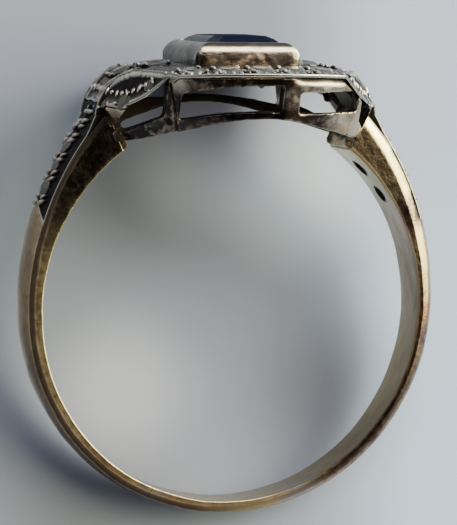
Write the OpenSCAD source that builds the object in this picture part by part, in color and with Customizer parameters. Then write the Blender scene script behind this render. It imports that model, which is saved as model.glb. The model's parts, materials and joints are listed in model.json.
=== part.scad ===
// Sapphire ring: a gold shank with tapering shoulders, soldered to a pierced, six-lobed gallery,
// a white metal plate set with small diamonds, and a raised bezel that holds a step-cut sapphire.
// All sizes are in millimetres. The shapes are drawn in the ring's own axes, X across the finger,
// Y up from the finger to the head, Z along the finger, with the origin at the middle of the finger
// hole. The whole ring is then leaned back, so that it lies on its side as it would on a table.

/* [Finger hole and shank] */
// Inner diameter of the finger hole
finger_d = 17.0; // [16.9:0.05:17.1]
// Radius of the shank's outer face, across its crown
crown_r = 9.28; // [9.25:0.01:9.4]
// How far the outer face's centre sits above the hole's, which thins the back of the shank
crown_shift = 0.18; // [0.1:0.01:0.2]
// Radius of the flatter arc that each shoulder's outer face follows
shoulder_r = 13.0; // [12.8:0.1:13.2]
// Radius of the rounding across the shank's width
court_r = 3.2; // [2.8:0.1:4]
// Width of the shank at its back
back_w = 1.8; // [1.6:0.1:2]
// Width of the shoulders where they meet the head
shoulder_w = 2.7; // [2.6:0.1:2.8]

/* [Head and gallery] */
// Length of the head across the finger, end to end, at the level where the taper is measured
head_l = 13.3; // [13.2:0.1:13.4]
// Width of the head along the finger, over its two long lobes
head_w = 10.6; // [10.4:0.1:10.8]
// Radius of the outline of a corner lobe
corner_r = 3.5; // [3.45:0.05:3.55]
// Radius of the outline of a long lobe
long_r = 9.0; // [8.8:0.1:9.4]
// Reach of the front lobe from the middle to its left notch, and of the rear lobe to its right one
notch_near = 3.9; // [3.8:0.05:3.95]
// Reach of the front lobe to its right notch, and of the rear lobe to its left one
notch_far = 4.95; // [4.9:0.05:5]
// Thickness of the gallery's wall
wall_t = 0.6; // [0.5:0.05:0.65]
// Share by which the gallery narrows for each millimetre towards the finger
taper = 0.06; // [0.05:0.005:0.07]
// Lean of the gallery's walls towards the front of the ring, in degrees
head_tilt = 2.0; // [1:0.5:2.5]

/* [Top plate] */
// Height of the plate's middle above the centre of the finger hole
plate_v = 10.75; // [10.7:0.05:10.8]
// Thickness of the white metal plate
plate_t = 0.15; // [0.15:0.01:0.2]
// Thickness of its sloping corner lobes
corner_t = 0.12; // [0.12:0.01:0.15]
// Steepness of the corner lobes, in degrees from level
corner_slope = 60.7; // [58:0.1:63]
// Direction that the corner lobes face, in degrees from the line across the finger
corner_facing = 26.4; // [24:0.1:29]
// Thickness of the white metal strips on the shoulders
strip_t = 0.35; // [0.3:0.05:0.4]
// Width of the strips
strip_w = 2.1; // [2:0.05:2.2]

/* [Bezel and sapphire] */
// Size of the bezel across the finger
bezel_u = 4.65; // [4.6:0.05:4.75]
// Size of the bezel along the finger
bezel_w = 5.4; // [5.3:0.05:5.5]
// Height of the bezel's rim above the centre of the finger hole
bezel_top = 11.48; // [11.44:0.01:11.5]
// Radius of the rounding along the bezel's two sides
bezel_round = 0.78; // [0.7:0.01:0.8]
// Width of the rim that is turned over the stone at the bezel's sides
rim_u = 0.57; // [0.55:0.01:0.6]
// Width of the rim at the bezel's front and back
rim_w = 0.4; // [0.38:0.01:0.42]
// Height of the sapphire's table above the centre of the finger hole
table_v = 11.73; // [11.68:0.05:11.78]

/* [Fits] */
// Gap between pieces that are not soldered together
gap = 0.03; // [0.02:0.01:0.04]

/* [Hidden] */
$fn = 96;
flat_fn = 200;                             // for the broad, flat arcs
seat_fn = 48;                              // for the stones' small seats

far = 20;                                  // longer than any part of the ring
finger_r = finger_d / 2;

// The head's plan
corner_u = head_l / 2 - corner_r;          // centre of a corner lobe, across the finger
corner_w = 0.6;                            // and along it
long_w = head_w / 2 - long_r;              // centre of a long lobe's outline, along the finger
post_t = 0.25;                             // how much thicker the wall is at a notch
taper_level = 10;                          // the height at which the plan has its stated size
head_foot = 6.2;                           // levels below the gallery and above the plate
head_crest = 12;
head_pivot = 8.4;                          // the height that the head leans about

// The shoulders
shoulder_u = shoulder_r - crown_r;         // centre of a shoulder's arc, on the other side
shoulder_end = 4.6;                        // where the shoulders are cut off inside the gallery
strip_foot = 3.8;                          // the strip's end has a swallow tail: height of its tips
tail_notch = 4.6;                          // and height of the notch between them

// The underside of the gallery is an arc, flatter than the finger hole
under_r = 14;
under_v = 8.32;
rail_t = 0.5;                              // thickness of the lower rail in front
window_h = 1.1;                            // height of the longest window
rail_r = 9.4;                              // top of the lower rail in the corner lobes

// Windows of the front wall. A long lobe has one that follows its rail, from one place across the
// finger to the next, and a short one: [left, foot, width, height].
long_window = [-3.45, 0.75];
short_window = [1.58, 8.72, 2.95, 0.9];
// Outlines of the windows in the corner lobes, as they show from the front: each point is
// [place across the finger, height]. They reach up to the plate.
left_window = [[-5.75, 7.6], [-5.15, 9.3], [-5.15, far], [-3.95, far], [-3.95, 7.6]];
right_window = [[4.9, far], [4.9, 8.3], [5.3, 7.85], [5.65, 8.2], [5.95, 9.0], [5.95, far]];
window_w = 0.9;                            // the windows lie in front of this place

// The plate's top: a broad dome with round ends
top_r = 31;
end_r = 2.4;
end_u = 4.0;
end_v = 8.05;
corner_point = [5.2, 9.05, 3.0];           // a point on a corner lobe's sloping face
tongue_u = 6.4;                            // how far the plate reaches over the shoulders

// The bezel
bezel_corner = 0.2;
bezel_foot = 10.2;
rim_drop = 0.12;                           // fall of its rim to the front and the back
bezel_overlap = 0.3;                       // the plate runs in under its wall by this
open_u = bezel_u / 2 - rim_u;              // the opening inside the rim
open_w = bezel_w / 2 - rim_w;
open_corner = 0.5;
back_u = 1.45;                             // the open back under the sapphire
back_half_w = 1.95;

// The sapphire's girdle reaches under the rim, and its facets step in from there
girdle_u = open_u + 0.25;
girdle_w = open_w + 0.25;
girdle_v = 11.04;
girdle_t = 0.07;
sapphire_corner = 0.55;                    // its cropped corners
crown_h = table_v - girdle_v - girdle_t;
table_inset = 0.86;
pavilion_h = 1.5;
keel_inset = 1.7;
// Steps of the cut: each row is [share of the way in, share of the height]
crown_steps = [[0, 0], [0.32, 0.46], [0.66, 0.80], [1, 1]];
pavilion_steps = [[0, 0], [0.22, 0.42], [0.52, 0.76], [1, 1]];

// Diamonds. Sizes are girdle radii.
// Shoulder stones: each row is [angle above the finger hole's middle, radius]
shoulder_stones = [[25.8, 0.28], [32.4, 0.48], [38.6, 0.38], [44.3, 0.46]];
// End stones: each row is [place across the finger, radius]
end_stones = [[3.42, 0.72], [4.98, 0.55]];
// Long lobe stones: each row is [angle round the lobe, radius]
lobe_stones = [[-20.6, 0.6], [-10.3, 0.66], [0, 0.66], [10.3, 0.66], [20.6, 0.6]];
lobe_row_r = long_r - 0.92;
// Corner stones: each row is [angle round the lobe, radius, distance in from the rim]
corner_stones = [[15, 0.26, 0.24], [37, 0.4, 0.3], [59, 0.3, 0.26]];
corner_stone_v = 9.4;                      // about the height of these stones
set_depth = 0.1;                           // a stone's girdle lies this far below the metal
shoulder_seat = 0.75;                      // depth of a seat in the shoulder
// Holes drilled from the finger hole to the larger shoulder stones
azure_angles = [34.3, 44.4];
azure_r = 0.4;
// Proportions of a round stone, as shares of its girdle radius
table_share = 0.56;
table_rise = 0.26;
girdle_half = 0.03;
point_drop = 0.86;

// Scale of the head's plan at a height
function taper_at(v) = 1 - taper * (taper_level - v);

// Height of an arc over a place x, from the height of its centre and its radius
function arc_v(x, centre, r) = centre + sqrt(r * r - x * x);

// Height of the plate's top at a place across and along the finger
function top_v(u, w) = let (dome = arc_v(norm([u, w]), plate_v - top_r, top_r))
    abs(u) < end_u ? dome : min(dome, arc_v(abs(u) - end_u, end_v, end_r));

// The way that a corner lobe's slope faces, and its height at a place
corner_n = [
    sin(corner_slope) * cos(corner_facing),
    cos(corner_slope),
    sin(corner_slope) * sin(corner_facing)
];
function corner_v(u, w) = corner_point[1]
    - (corner_n[0] * (u - corner_point[0]) + corner_n[2] * (w - corner_point[2])) / corner_n[1];

// The ring leans until it rests on two places: the edge of the shank's back and the rim of the rear
// lobe. Its lean is the slope of the line between them.
back_edge_v = crown_shift - crown_r + court_r - sqrt(court_r * court_r - back_w * back_w / 4);
rest_w = rear_wall(top_v(0, head_w / 2));
rest_v = top_v(0, rest_w);
lean = atan((rest_w - back_w / 2) / (rest_v - back_edge_v));

// Place of the rear wall behind the ring's middle, at a height. Along the wall's own axis, its place
// is foot + slope * h, and the head's lean mixes that with the height.
function rear_wall(v) = let (
        slope = taper * head_w / 2,
        foot = head_w / 2 * taper_at(0),
        h = (v - head_pivot * (1 - cos(head_tilt)) - foot * sin(head_tilt))
            / (cos(head_tilt) + slope * sin(head_tilt)))
    (foot + slope * h) * cos(head_tilt) - (h - head_pivot) * sin(head_tilt);

// Turns a drawing in the plan, across and along the finger, into an upright prism
module plan_prism(low, high)
    translate([0, low, 0]) rotate([-90, 0, 0]) linear_extrude(high - low) children();

// Turns a drawing of height and place along the finger into a bar across the finger
module side_prism(half) translate([-half, 0, 0]) rotate([90, 0, 90]) linear_extrude(2 * half) children();

// Turns a drawing of the ring's front view into a slab along the finger
module front_prism(low, high) translate([0, 0, low]) linear_extrude(high - low) children();

module both_sides() {
    children();
    mirror([1, 0, 0]) children();
}

module both_turns() {
    children();
    rotate([0, 180, 0]) children();
}

module four_corners() {
    both_sides() children();
    mirror([0, 0, 1]) both_sides() children();
}

// The lean of the gallery's walls towards the front. The top is level.
module on_head()
    translate([0, head_pivot, 0]) rotate([head_tilt, 0, 0]) translate([0, -head_pivot, 0]) children();

// The ring's resting pose
module at_rest() rotate([lean, 0, 0]) children();

// A disc whose rim is rounded across the shank's width
module court_disc(r) rotate_extrude() {
    translate([0, -court_r]) square([r - court_r, 2 * court_r]);
    intersection() {
        translate([r - court_r, 0]) circle(court_r);
        translate([0, -court_r]) square([r, 2 * court_r]);
    }
}

// The two shoulder arcs meet like the sides of a pointed arch
module shoulder_arch(thinner = 0) intersection() {
    translate([shoulder_u, crown_shift, 0]) court_disc(shoulder_r - thinner);
    translate([-shoulder_u, crown_shift, 0]) court_disc(shoulder_r - thinner);
}

module below_shoulders() translate([-far, -far, -far]) cube([2 * far, far + crown_shift, 2 * far]);

// The hoop: a round back, arched shoulders above it, and flat side faces that widen to the head
module hoop() difference() {
    intersection() {
        union() {
            intersection() {
                translate([0, crown_shift, 0]) court_disc(crown_r);
                below_shoulders();
            }
            difference() {
                shoulder_arch();
                below_shoulders();
            }
        }
        side_prism(far) polygon([
            for (row = [[-far, -back_w], [back_edge_v, -back_w], [finger_r, -shoulder_w], [far, -shoulder_w],
                        [far, shoulder_w], [finger_r, shoulder_w], [back_edge_v, back_w], [-far, back_w]])
                [row[0], row[1] / 2]]);
    }
    cylinder(h = far, r = finger_r, center = true);
    translate([-shoulder_end, 0, -far / 2]) cube([2 * shoulder_end, far, far]);
    head_body(wall_t, post_t);
}

// The head's plan. shrink draws the same outline further in, and post pulls in a long lobe's ends.
module head_plan(shrink = 0, post = 0) {
    for (su = [-1, 1], sw = [-1, 1]) translate([su * corner_u, sw * corner_w]) circle(corner_r - shrink);
    for (turn = [0, 180]) rotate(turn) intersection() {
        translate([0, long_w]) circle(long_r - shrink);
        translate([post - notch_near, 0]) square([notch_near + notch_far - 2 * post, far]);
    }
    square([2 * (corner_u + corner_r - shrink), 2 * corner_w], center = true);
}

// The head's plan made solid: it narrows towards the finger. Its front is towards +Z.
module head_body(shrink = 0, post = 0) on_head() translate([0, head_foot, 0]) rotate([-90, 0, 0])
    linear_extrude(head_crest - head_foot, scale = taper_at(head_crest) / taper_at(head_foot))
        scale(taper_at(head_foot)) mirror([0, 1]) head_plan(shrink, post);

// Everything under the plate's top, when that top and its sloping corners are lowered
module under_top(drop = 0, corner_drop = 0) difference() {
    intersection() {
        front_prism(-far, far) {
            translate([-end_u, 0]) square([2 * end_u, far]);
            for (su = [-1, 1]) translate([su * end_u, end_v]) circle(end_r - drop);
            translate([-end_u - end_r + drop, 0]) square([2 * (end_u + end_r - drop), end_v]);
        }
        translate([0, plate_v - top_r, 0]) sphere(top_r - drop, $fn = flat_fn);
    }
    four_corners()
        translate(corner_point - corner_drop * corner_n)
            rotate([0, -corner_facing, 0]) rotate([0, 0, -corner_slope])
                translate([-far / 2, 0, -far / 2]) cube([far, far, far]);
}

module under_arc(rise) translate([0, under_v - under_r]) circle(under_r + rise, $fn = flat_fn);

// The windows of one front half of the gallery's wall
module front_windows() {
    front_prism(window_w, far) {
        difference() {
            intersection() {
                under_arc(rail_t + window_h);
                translate([long_window[0], 0]) square([long_window[1] - long_window[0], far]);
            }
            under_arc(rail_t);
        }
        translate([short_window[0], short_window[1]]) square([short_window[2], short_window[3]]);
        difference() {
            union() {
                polygon(left_window);
                polygon(right_window);
            }
            circle(rail_r);
        }
    }
}

// The pierced wall that carries the plate, open below towards the finger
module gallery() difference() {
    intersection() {
        head_body();
        under_top(plate_t + gap, corner_t + gap);
    }
    head_body(wall_t, post_t);
    on_head() {
        front_prism(-far, far) under_arc(0);
        cylinder(h = far, r = finger_r, center = true);
        both_turns() front_windows();
    }
}

// The outline of one shoulder strip, height by width, with its swallow tail
module strip_plan(grow = 0) polygon([
    [strip_foot - grow, -strip_w / 2 - grow], [far, -strip_w / 2 - grow],
    [far, strip_w / 2 + grow], [strip_foot - grow, strip_w / 2 + grow],
    [tail_notch - grow, 0]]);

// Places a shoulder stone's axes where a line at its angle from the hole's middle meets the arch.
// The stone's own Y is the way that it faces.
module at_shoulder(row) let (
        a = row[0],
        c = shoulder_u * cos(a) - crown_shift * sin(a),
        r = -c + sqrt(c * c + shoulder_r * shoulder_r - shoulder_u * shoulder_u - crown_shift * crown_shift),
        u = r * cos(a),
        v = r * sin(a))
    translate([u, v, 0]) rotate([0, 0, atan2(v - crown_shift, u + shoulder_u) - 90]) children();

module at_end(row) let (
        facing = row[0] < end_u ? asin(row[0] / top_r) : asin((row[0] - end_u) / end_r))
    translate([row[0], top_v(row[0], 0), 0]) rotate([0, 0, -facing]) children();

module at_lobe(row) let (
        u = lobe_row_r * sin(row[0]),
        w = long_w + lobe_row_r * cos(row[0]))
    translate([u, top_v(u, w), w]) rotate([asin(w / top_r), 0, -asin(u / top_r)]) children();

module at_corner(row) let (
        s = taper_at(corner_stone_v),
        u = s * (corner_u + (corner_r - row[2]) * cos(row[0])),
        w = s * (corner_w + (corner_r - row[2]) * sin(row[0])))
    translate([u, corner_v(u, w), w])
        rotate([0, -corner_facing, 0]) rotate([0, 0, -corner_slope]) children();

// A round hole for a stone, from a depth below the metal up to a height above it
module seat(r, depth, height) translate([0, -depth, 0]) rotate([-90, 0, 0])
    cylinder(h = depth + height, r = r + gap, $fn = seat_fn);

module head_seats() {
    both_sides() for (row = end_stones) at_end(row) seat(row[1], 2, 2);
    both_turns() for (row = lobe_stones) at_lobe(row) seat(row[1], 2, 2);
    four_corners() for (row = corner_stones) at_corner(row) seat(row[1], 1, 2);
}

// Gold: the shank, its shoulders and the gallery, soldered into one piece
module shank_and_gallery() color([0.62, 0.52, 0.33]) at_rest() difference() {
    union() {
        hoop();
        gallery();
    }
    // room for the plate's two tongues, and for the stones that reach down past the wall
    difference() {
        plan_prism(head_foot, far) square([2 * tongue_u, strip_w + 2 * gap], center = true);
        under_top(plate_t + gap, corner_t + gap);
    }
    both_turns() for (row = lobe_stones) at_lobe(row) sunk_cut(row[1] + gap);
    four_corners() for (row = corner_stones) at_corner(row) sunk_cut(row[1] + gap);
    both_sides() {
        // the bed of the strip
        difference() {
            intersection() {
                side_prism(far) strip_plan(gap);
                translate([0, 0, -far / 2]) cube(far);
            }
            shoulder_arch(strip_t + gap);
        }
        for (row = shoulder_stones) at_shoulder(row) seat(row[1], shoulder_seat, 1);
        for (angle = azure_angles) rotate([0, 90, angle]) cylinder(h = crown_r, r = azure_r, $fn = seat_fn);
    }
}

module rounded(half_u, half_w, r) {
    square([2 * (half_u - r), 2 * half_w], center = true);
    square([2 * half_u, 2 * (half_w - r)], center = true);
    for (su = [-1, 1], sw = [-1, 1]) translate([su * (half_u - r), sw * (half_w - r)]) circle(r);
}

// The bezel's front view: upright sides that round over to the rim
module bezel_section() {
    translate([-bezel_u / 2, bezel_foot]) square([bezel_u, bezel_top - bezel_round - bezel_foot]);
    translate([bezel_round - bezel_u / 2, bezel_foot])
        square([bezel_u - 2 * bezel_round, bezel_top - bezel_foot]);
    for (su = [-1, 1]) translate([su * (bezel_u / 2 - bezel_round), bezel_top - bezel_round])
        circle(bezel_round);
}

// What lies above the rim's slope at the back
module above_rear_rim() translate([-far / 2, bezel_top - rim_drop, -bezel_w / 2])
    rotate([-atan(rim_drop / rim_w), 0, 0]) translate([0, 0, -far / 2]) cube(far);

module bezel() difference() {
    intersection() {
        plan_prism(bezel_foot, bezel_top) rounded(bezel_u / 2, bezel_w / 2, bezel_corner);
        front_prism(-far, far) bezel_section();
    }
    plan_prism(girdle_v, far) rounded(open_u, open_w, open_corner);
    cut_stone(gap);
    both_turns() above_rear_rim();
}

// The six-lobed plate with a tongue over each shoulder, open in the middle
module plate() difference() {
    intersection() {
        union() {
            head_body();
            plan_prism(head_foot, far) square([2 * tongue_u, strip_w], center = true);
        }
        under_top();
    }
    under_top(plate_t, corner_t);
    plan_prism(0, far) rounded(bezel_u / 2 - bezel_overlap, bezel_w / 2 - bezel_overlap, bezel_corner);
}

// A strip runs up the shoulder and into the end of the plate's tongue
module shoulder_strip() difference() {
    intersection() {
        shoulder_arch();
        side_prism(far) strip_plan();
        translate([tongue_u - plate_t, 0, -far / 2]) cube(far);
    }
    shoulder_arch(strip_t);
}

// White metal: the domed plate, the strips on the shoulders and the bezel, in one piece
module plate_and_bezel() color([0.72, 0.71, 0.68]) at_rest() difference() {
    union() {
        plate();
        bezel();
        both_sides() shoulder_strip();
    }
    head_seats();
    plan_prism(head_foot, girdle_v) rounded(back_u, back_half_w, open_corner);
    both_sides() for (row = shoulder_stones) at_shoulder(row) seat(row[1], 1, 1);
}

// One ring of a step cut: a rectangle with its corners cut off
function cut_ring(half_u, half_w, corner, v) = [
    [half_u, v, half_w - corner], [half_u - corner, v, half_w],
    [corner - half_u, v, half_w], [-half_u, v, half_w - corner],
    [-half_u, v, corner - half_w], [corner - half_u, v, -half_w],
    [half_u - corner, v, -half_w], [half_u, v, corner - half_w]];

// The same ring, drawn further in from the girdle, with its corners in proportion
function stepped_ring(grow, inset, v) = let (half_u = girdle_u + grow - inset)
    cut_ring(half_u, girdle_w + grow - inset, sapphire_corner * half_u / girdle_u, v);

// The sapphire's rings from its keel up to its table, joined by flat facets
module cut_stone(grow = 0) let (
        low = [for (i = [len(pavilion_steps) - 1 : -1 : 0]) let (step = pavilion_steps[i])
            stepped_ring(grow, keel_inset * step[0], girdle_v - grow - pavilion_h * step[1])],
        high = [for (step = crown_steps)
            stepped_ring(grow, table_inset * step[0], girdle_v + girdle_t + grow + crown_h * step[1])],
        rings = concat(low, high),
        last = len(rings) - 1)
    polyhedron(
        points = [for (ring = rings) for (p = ring) p],
        faces = concat(
            [[for (k = [7 : -1 : 0]) k]],
            [for (i = [0 : last - 1]) for (k = [0 : 7])
                [8 * i + k, 8 * i + (k + 1) % 8, 8 * i + 8 + (k + 1) % 8, 8 * i + 8 + k]],
            [[for (k = [0 : 7]) 8 * last + k]]));

module sapphire() color([0.03, 0.05, 0.16]) at_rest() cut_stone();

// A small round cut: an eight-sided table, triangular crown facets out to a girdle of sixteen
// sides, and a pavilion down to its point
module round_cut(r) let (
        ring = [for (k = [0 : 15]) [r * cos(22.5 * k), 0, r * sin(22.5 * k)]],
        girdle = [0, girdle_half * r, 0],
        table = [for (k = [0 : 7]) table_share * ring[2 * k] + [0, table_rise * r, 0]],
        top = [for (p = ring) p + girdle],
        bottom = [for (p = ring) p - girdle],
        point = [0, -point_drop * r, 0])
    polyhedron(
        points = concat(table, top, bottom, [point]),
        faces = concat(
            [[for (k = [0 : 7]) k]],
            [for (k = [0 : 7]) [k, 8 + 2 * k, 9 + 2 * k]],
            [for (k = [0 : 7]) [k, 9 + 2 * k, (k + 1) % 8]],
            [for (k = [0 : 7]) [(k + 1) % 8, 9 + 2 * k, 8 + (2 * k + 2) % 16]],
            [for (k = [0 : 15]) [8 + k, 24 + k, 24 + (k + 1) % 16, 8 + (k + 1) % 16]],
            [for (k = [0 : 15]) [24 + k, 40, 24 + (k + 1) % 16]]));

module sunk_cut(r) translate([0, -set_depth, 0]) round_cut(r);

module diamond(r) color([0.86, 0.88, 0.9]) sunk_cut(r);

// The stones are numbered from the right-hand side, then from the left or the rear
module shoulder_diamond(i) let (n = len(shoulder_stones), row = shoulder_stones[(i - 1) % n])
    at_rest() mirror([i > n ? 1 : 0, 0, 0]) at_shoulder(row) diamond(row[1]);

module end_diamond(i) let (n = len(end_stones), row = end_stones[(i - 1) % n])
    at_rest() mirror([i > n ? 1 : 0, 0, 0]) at_end(row) diamond(row[1]);

module lobe_diamond(i) let (n = len(lobe_stones), row = lobe_stones[(i - 1) % n])
    at_rest() rotate([0, i > n ? 180 : 0, 0]) at_lobe(row) diamond(row[1]);

module corner_diamond(i) let (
        n = len(corner_stones),
        row = corner_stones[(i - 1) % n],
        quarter = floor((i - 1) / n))
    at_rest() mirror([quarter % 2, 0, 0]) mirror([0, 0, quarter > 1 ? 1 : 0])
        at_corner(row) diamond(row[1]);

shank_and_gallery();
plate_and_bezel();
sapphire();
for (i = [1 : 8]) shoulder_diamond(i);
for (i = [1 : 4]) end_diamond(i);
for (i = [1 : 10]) lobe_diamond(i);
for (i = [1 : 12]) corner_diamond(i);
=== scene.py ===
# %% [markdown]
# # An old sapphire ring
#
# This notebook dresses a small worn ring: a yellow gold shank with a pierced gallery, a white metal
# plate set with tiny diamonds, and a raised bezel round a dark blue, step-cut sapphire. The packed
# model gives every piece its place. Here each surface gets its finish, and the metal gets the relief
# that a jeweller cuts by hand: rails, seats, grains and worn edges.

# %% Load the frame
import json
import math
from functools import partialmethod

import bmesh
import bpy
import numpy as np
from mathutils import Matrix, Vector

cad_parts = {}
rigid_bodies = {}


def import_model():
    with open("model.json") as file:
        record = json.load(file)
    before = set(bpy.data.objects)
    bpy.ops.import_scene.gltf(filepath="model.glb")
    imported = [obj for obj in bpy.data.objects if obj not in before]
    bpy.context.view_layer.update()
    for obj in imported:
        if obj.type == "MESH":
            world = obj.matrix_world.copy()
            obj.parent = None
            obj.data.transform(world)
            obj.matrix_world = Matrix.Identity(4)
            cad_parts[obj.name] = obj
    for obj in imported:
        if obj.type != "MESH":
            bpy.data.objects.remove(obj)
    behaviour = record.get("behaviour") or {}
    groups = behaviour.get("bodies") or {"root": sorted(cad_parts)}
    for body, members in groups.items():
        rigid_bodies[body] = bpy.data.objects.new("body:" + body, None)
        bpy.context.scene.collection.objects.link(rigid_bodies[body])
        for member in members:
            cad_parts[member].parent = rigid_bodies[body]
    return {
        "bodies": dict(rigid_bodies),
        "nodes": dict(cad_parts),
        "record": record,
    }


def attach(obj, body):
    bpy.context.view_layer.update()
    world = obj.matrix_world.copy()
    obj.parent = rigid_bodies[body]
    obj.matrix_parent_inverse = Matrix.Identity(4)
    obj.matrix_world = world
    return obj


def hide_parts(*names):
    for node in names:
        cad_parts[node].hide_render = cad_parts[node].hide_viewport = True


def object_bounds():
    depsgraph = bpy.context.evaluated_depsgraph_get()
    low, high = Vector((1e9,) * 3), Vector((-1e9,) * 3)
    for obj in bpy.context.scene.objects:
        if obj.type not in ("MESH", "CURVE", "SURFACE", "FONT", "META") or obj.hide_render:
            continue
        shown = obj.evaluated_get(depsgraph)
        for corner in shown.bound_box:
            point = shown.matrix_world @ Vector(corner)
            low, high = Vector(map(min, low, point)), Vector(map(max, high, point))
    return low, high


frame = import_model()
cad_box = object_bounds()
root = list(frame["bodies"])[0]
print("body:", root, "nodes:", len(frame["nodes"]))

# %% [markdown]
# ## The ring's own axes
#
# The ring lies on its side, leaning on the rim of its head. It is easier to draw upright, so every
# shape is worked out in the ring's own axes in millimetres: u across the finger, v up from the finger
# to the stone, w along the finger towards the viewer. The last step leans it back and turns it to
# metres. The head has axes of its own, because it leans two degrees towards the front.

# %% Turn ring axes into the frame's axes
MM = 0.001
HEAD_TILT, HEAD_PIVOT = math.radians(2.0), 8.4
bore = next(m for m in frame["record"]["mounts"] if m["name"] == "finger_bore")
lean = math.atan2(-bore["axis"][1], bore["axis"][2])


def turned(points, angle, pivot=0.0):
    """Turns points about a line along u at height pivot: v and w mix by the angle's cosine and sine."""
    p = np.array(points, float)
    v = p[..., 1] - pivot
    w = p[..., 2].copy()
    p[..., 1] = pivot + v * math.cos(angle) - w * math.sin(angle)
    p[..., 2] = v * math.sin(angle) + w * math.cos(angle)
    return p


def at_rest(points):
    """Ring axes in millimetres to the frame's axes in metres."""
    return turned(points, lean) * MM


def to_ring(points):
    """The frame's axes in metres back to ring axes in millimetres."""
    return turned(np.array(points, float) / MM, -lean)


def unit(v):
    """A vector at length one, for one vector or a whole array of them."""
    v = np.asarray(v, float)
    return v / np.linalg.norm(v, axis=-1, keepdims=True)


def polar(r, a):
    """Points of a plane at a distance and an angle from its middle."""
    return np.stack([r * np.cos(a), r * np.sin(a)], -1)


def raised(plan, height):
    """Points of a plan in u and w, set at one height or each at its own."""
    return np.stack([plan[..., 0], np.broadcast_to(height, plan.shape[:-1]), plan[..., 1]], -1)


def ring_direction(way):
    """A direction in ring axes, turned to the frame's axes."""
    return Vector(unit(turned(way, lean)))


def in_scene(name, data):
    """A new object of a mesh, a light or a camera, linked to the scene."""
    made = bpy.data.objects.new(name, data)
    bpy.context.scene.collection.objects.link(made)
    return made


print("lean in degrees:", round(math.degrees(lean), 3))

# %% [markdown]
# ## The camera
#
# The photo was taken with a long view from in front of the ring, a little to the left and a little
# towards the head. The camera is built first, so that everything after it can be judged in place. Its
# matrix comes from three directions: where it looks, what is to its right and what is up.

# %% Place the camera
IMAGE_H, FOCAL_PX, SENSOR_MM = 525, 2987.1, 36.0
EYE = np.array([-38.63, 14.72, 123.26])
AIM = np.array([0.05, 1.86, 0.0])
ROLL = math.radians(0.8)

look = unit(AIM - EYE)
side = unit(np.cross(look, [0.0, 1.0, 0.0]))
above = np.cross(side, look)
side, above = (side * math.cos(ROLL) + above * math.sin(ROLL),
               above * math.cos(ROLL) - side * math.sin(ROLL))
cam_data = bpy.data.cameras.new("camera")
cam_data.sensor_width = SENSOR_MM
cam_data.lens = FOCAL_PX * SENSOR_MM / IMAGE_H
cam_data.clip_start, cam_data.clip_end = 0.005, 20
camera = in_scene("camera", cam_data)
axes = Matrix(np.transpose([turned(a, lean) for a in (side, above, -look)]).tolist())
camera.matrix_world = Matrix.Translation(Vector(at_rest(EYE))) @ axes.to_4x4()
bpy.context.scene.camera = camera
print("lens in mm:", round(cam_data.lens, 1), "camera height in mm:", round(camera.location.z / MM, 1))

# %% [markdown]
# ## Shader maths as Python
#
# A material is a graph of nodes. Written node by node it is long and hard to read, so a small class
# wraps a socket and lets Python's own operators add the Math nodes: `1 - mask * 2` is two nodes.
# Every other node comes from one function that takes its type, its inputs and its settings. A finish
# is built up as a painter would: one base colour, and layers over it, each with its own mask.

# %% The socket wrapper


class Wire:
    """An output socket that can be added, multiplied and so on, as if it were a number."""

    def __init__(self, tree, socket):
        self.tree = tree
        self.socket = socket

    def maths(self, operation, other, clamp=False):
        return add_node(self.tree, "Math", {0: self, 1: other}, operation=operation, use_clamp=clamp)

    __add__ = __radd__ = partialmethod(maths, "ADD")
    __mul__ = __rmul__ = partialmethod(maths, "MULTIPLY")
    __sub__ = partialmethod(maths, "SUBTRACT")
    __pow__ = partialmethod(maths, "POWER")

    def __rsub__(self, other):
        return self * -1.0 + other

    def clamped(self):
        return self.maths("ADD", 0.0, clamp=True)

    def rising(self, low, high):
        """0 below low, 1 above high, and a smooth step between them. It falls where high is the less."""
        at_low = float(low > high)
        values = {"Value": self, "From Min": min(low, high), "From Max": max(low, high),
                  "To Min": at_low, "To Max": 1 - at_low}
        return add_node(self.tree, "MapRange", values, interpolation_type="SMOOTHSTEP")


def add_node(tree, kind, values=None, output=0, **settings):
    """Adds a node, sets its settings, then its inputs by name or number, and wraps one output."""
    node = tree.nodes.new("ShaderNode" + kind)
    for name, value in settings.items():
        setattr(node, name, value)
    for name, value in (values or {}).items():
        if isinstance(value, Wire):
            tree.links.new(value.socket, node.inputs[name])
        else:
            node.inputs[name].default_value = value
    return Wire(tree, node.outputs[output]) if node.outputs else None


def colour(tint):
    """A colour in linear light with full alpha. A wire stays as it is."""
    return tint if isinstance(tint, Wire) else (*tint, 1.0)


def layered(tree, tone, layers):
    """Lays colours over a tone, one after another. Each layer is a share from 0 to 1 and a colour."""
    for share, tint in layers:
        values = {"Factor": share, 6: colour(tone), 7: colour(tint)}
        tone = add_node(tree, "Mix", values, 2, data_type="RGBA")
    return tone


def aligned(tree, wire, way):
    """How far a direction in the shader points along one in ring axes, from -1 to 1."""
    return add_node(tree, "VectorMath", {0: wire, 1: ring_direction(way)}, "Value", operation="DOT_PRODUCT")


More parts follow.
